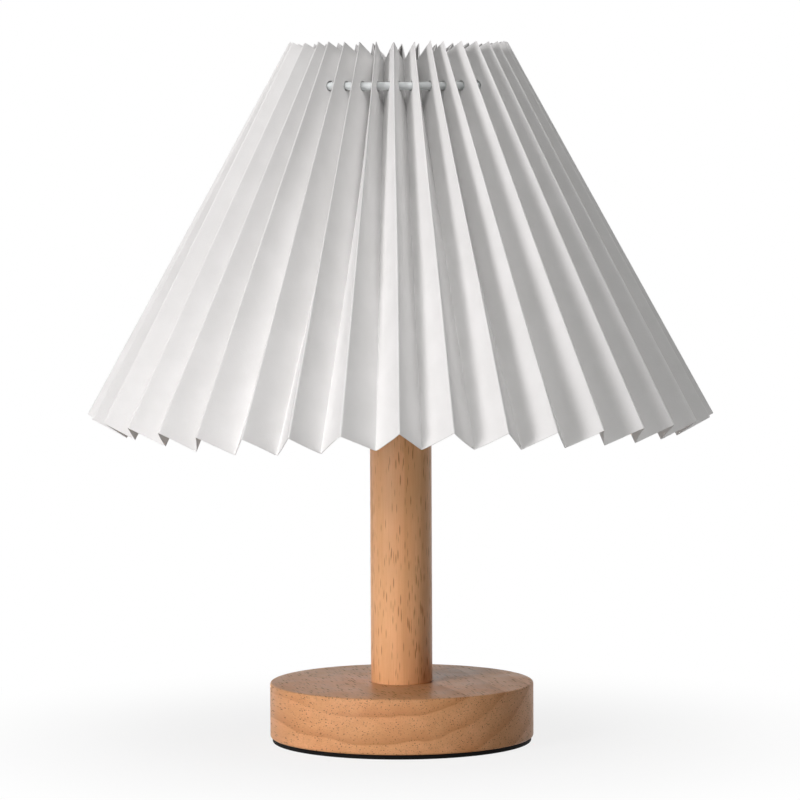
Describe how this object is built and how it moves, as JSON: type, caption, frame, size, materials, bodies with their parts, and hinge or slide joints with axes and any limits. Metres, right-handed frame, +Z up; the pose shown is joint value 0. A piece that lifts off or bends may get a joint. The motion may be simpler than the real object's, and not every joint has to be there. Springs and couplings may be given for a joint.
{
  "type": "table lamp",
  "caption": "Table lamp with a flared pleated paper shade on a wire carrier, over a round wooden post and a flat round wooden base with a dark pad.",
  "frame": {"origin": "centre of the bottom of the base, on the surface the lamp stands on", "axes": "+Z up along the post, +Y towards the back where the flex leaves, -Y to the front"},
  "size_m": [0.2844, 0.2843, 0.318],
  "materials": {
    "base_wood": "clear matt oil on pale open-pored hardwood",
    "post_wood": "clear matt oil on pale open-pored hardwood",
    "pad_foam": "black closed-cell foam",
    "gland_plastic": "black moulded",
    "plated_steel": "zinc plated",
    "holder_plastic": "white moulded thermoset",
    "holder_ceramic": "unglazed white",
    "holder_brass": "plain stamped",
    "carrier_steel": "white powder coat",
    "shade_paper": "white uncoated pleated card",
    "clear_tube": "clear flexible tube",
    "joiner_plastic": "clear plug",
    "opal_cover": "opal, unlit",
    "bulb_plastic": "white moulded",
    "board_aluminium": "white solder mask",
    "cap_metal": "rolled, plated",
    "insulator_black": "black vitreous"
  },
  "bodies": {
    "stand": {"base_disc": "base_wood", "base_pad": "pad_foam", "cord_gland": "gland_plastic", "post": "post_wood", "threaded_rod": "plated_steel", "base_washer": "plated_steel", "rod_nut": "plated_steel", "holder_locknut": "plated_steel", "post_washer": "plated_steel", "holder_cap": "holder_plastic", "holder_insert": "holder_ceramic", "terminal_screws": "holder_brass", "centre_contact": "holder_brass", "screw_shell": "holder_brass", "holder_sleeve": "holder_plastic"},
    "carrier": {"carrier_hub": "carrier_steel", "carrier_arms": "carrier_steel", "carrier_ring": "carrier_steel"},
    "shade": {"pleated_shade": "shade_paper", "hoop": "clear_tube", "hoop_joiner": "joiner_plastic"},
    "bulb_cover": {"bulb_globe": "opal_cover"},
    "bulb": {"bulb_body": "bulb_plastic", "led_board": "board_aluminium", "bulb_screw_cap": "cap_metal", "bulb_insulator": "insulator_black", "bulb_contact": "cap_metal"}
  },
  "joints": [
    {"name": "carrier_turn", "type": "hinge", "parent": "stand", "child": "carrier", "pos_m": [0, 0, 0.19], "axis": [0, 0, 1], "continuous": true},
    {"name": "shade_lift", "type": "slide", "parent": "carrier", "child": "shade", "axis": [0, 0, 1], "range_m": [0, 0.17]},
    {"name": "bulb_rise", "type": "slide", "parent": "stand", "child": "bulb_cover", "axis": [0, 0, 1], "range_m": [0, 0.0128]},
    {"name": "bulb_turn", "type": "hinge", "parent": "bulb_cover", "child": "bulb", "pos_m": [0, 0, 0.19], "axis": [0, 0, 1], "range_deg": [0, 1260]}
  ],
  "couplings": [
    {"joint": "bulb_rise", "follows": "bulb_turn", "m_per_rad": 0.00057757}
  ]
}
